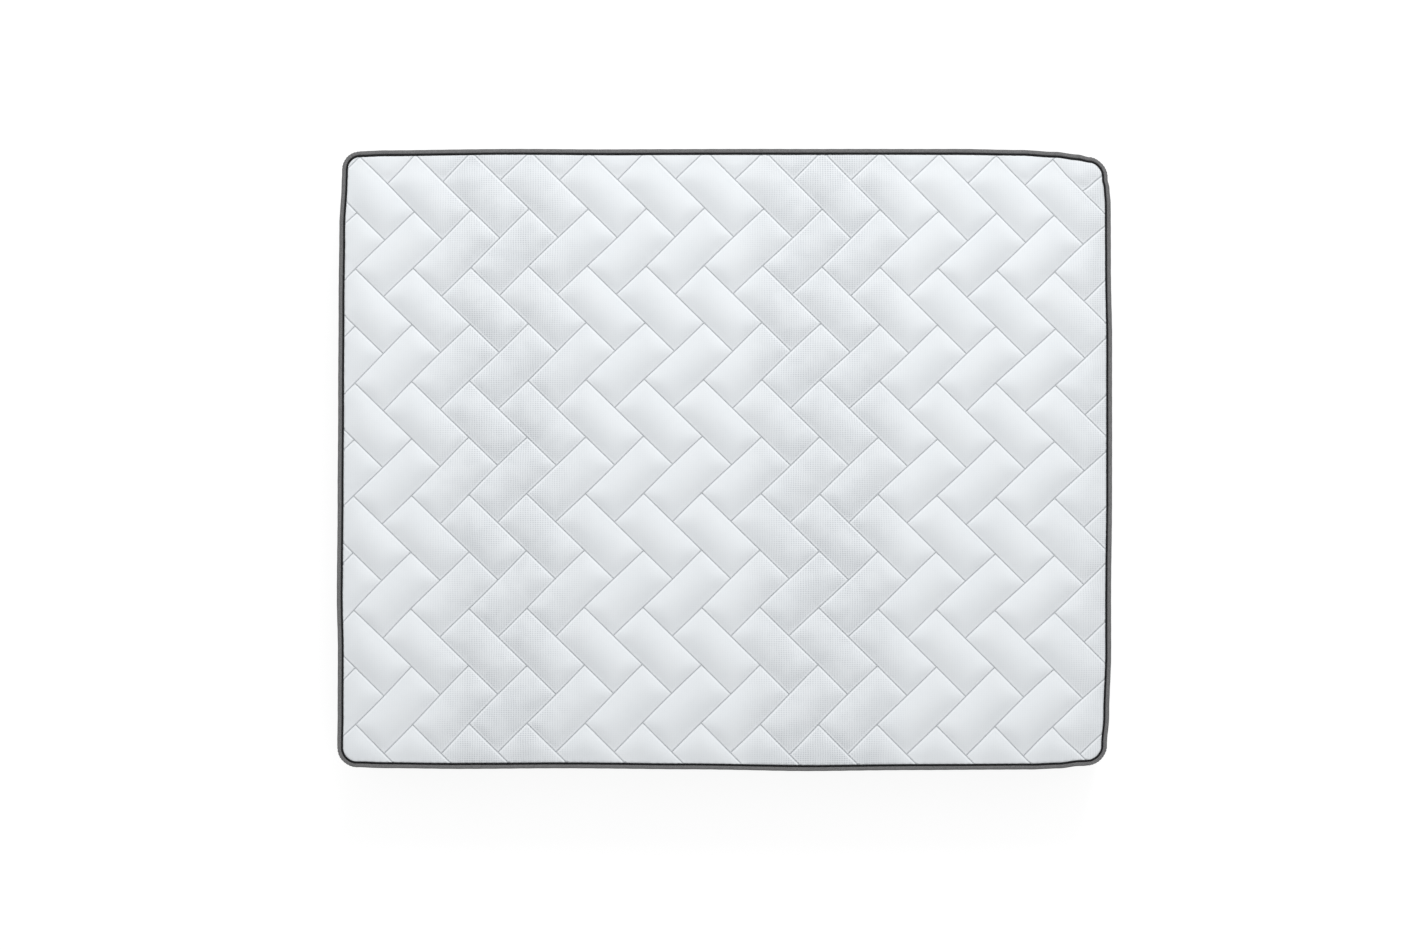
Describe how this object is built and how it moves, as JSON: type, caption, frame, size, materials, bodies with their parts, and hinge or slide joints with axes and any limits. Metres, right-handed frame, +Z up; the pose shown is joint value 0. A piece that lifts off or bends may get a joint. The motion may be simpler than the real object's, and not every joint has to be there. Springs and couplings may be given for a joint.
{
  "type": "memory foam mattress",
  "caption": "Flat rectangular foam mattress in a quilted white cover with black piping, grey rolled edges and a zip along one long side.",
  "frame": {"origin": "centre of the underside, on the surface the mattress lies on", "axes": "+X along the long sides, +Y towards the long side without the zip, +Z up"},
  "size_m": [2, 1.6, 0.22],
  "materials": {
    "face_knit": "matte",
    "wadding_white": "matte",
    "backing_white": "matte",
    "piping_black": "satin",
    "tape_grey": "matte",
    "border_knit": "matte",
    "base_cloth": "matte",
    "liner_knit": "matte",
    "support_foam": "matte",
    "transition_foam": "matte",
    "memory_foam": "matte",
    "zip_tape": "matte",
    "zip_coil": "satin",
    "zip_metal": "satin"
  },
  "bodies": {
    "mattress": {"bottom_panel": "base_cloth", "bottom_wadding": "wadding_white", "bottom_binding": "tape_grey", "bottom_piping": "piping_black", "liner_lower": "liner_knit", "liner_upper": "liner_knit", "support_core": "support_foam", "transition_foam": "transition_foam", "memory_foam": "memory_foam", "quilt_backing": "backing_white", "quilt_wadding": "wadding_white", "quilt_face": "face_knit", "top_binding": "tape_grey", "top_piping": "piping_black", "border_face": "border_knit", "border_wadding": "wadding_white", "zip_tape_upper": "zip_tape", "zip_tape_lower": "zip_tape", "zip_coil_upper": "zip_coil", "zip_coil_lower": "zip_coil", "zip_stops": "zip_metal", "zip_end_patches": "border_knit"},
    "slider": {"zip_slider": "zip_metal"},
    "pull": {"zip_pull": "zip_metal"}
  },
  "joints": [
    {"name": "zip_slide", "type": "slide", "parent": "mattress", "child": "slider", "axis": [1, 0, 0], "range_m": [0, 1.796]},
    {"name": "pull_hinge", "type": "hinge", "parent": "slider", "child": "pull", "pos_m": [-0.898, -0.7979, 0.07], "axis": [0, 0, -1], "range_deg": [0, 172]}
  ]
}
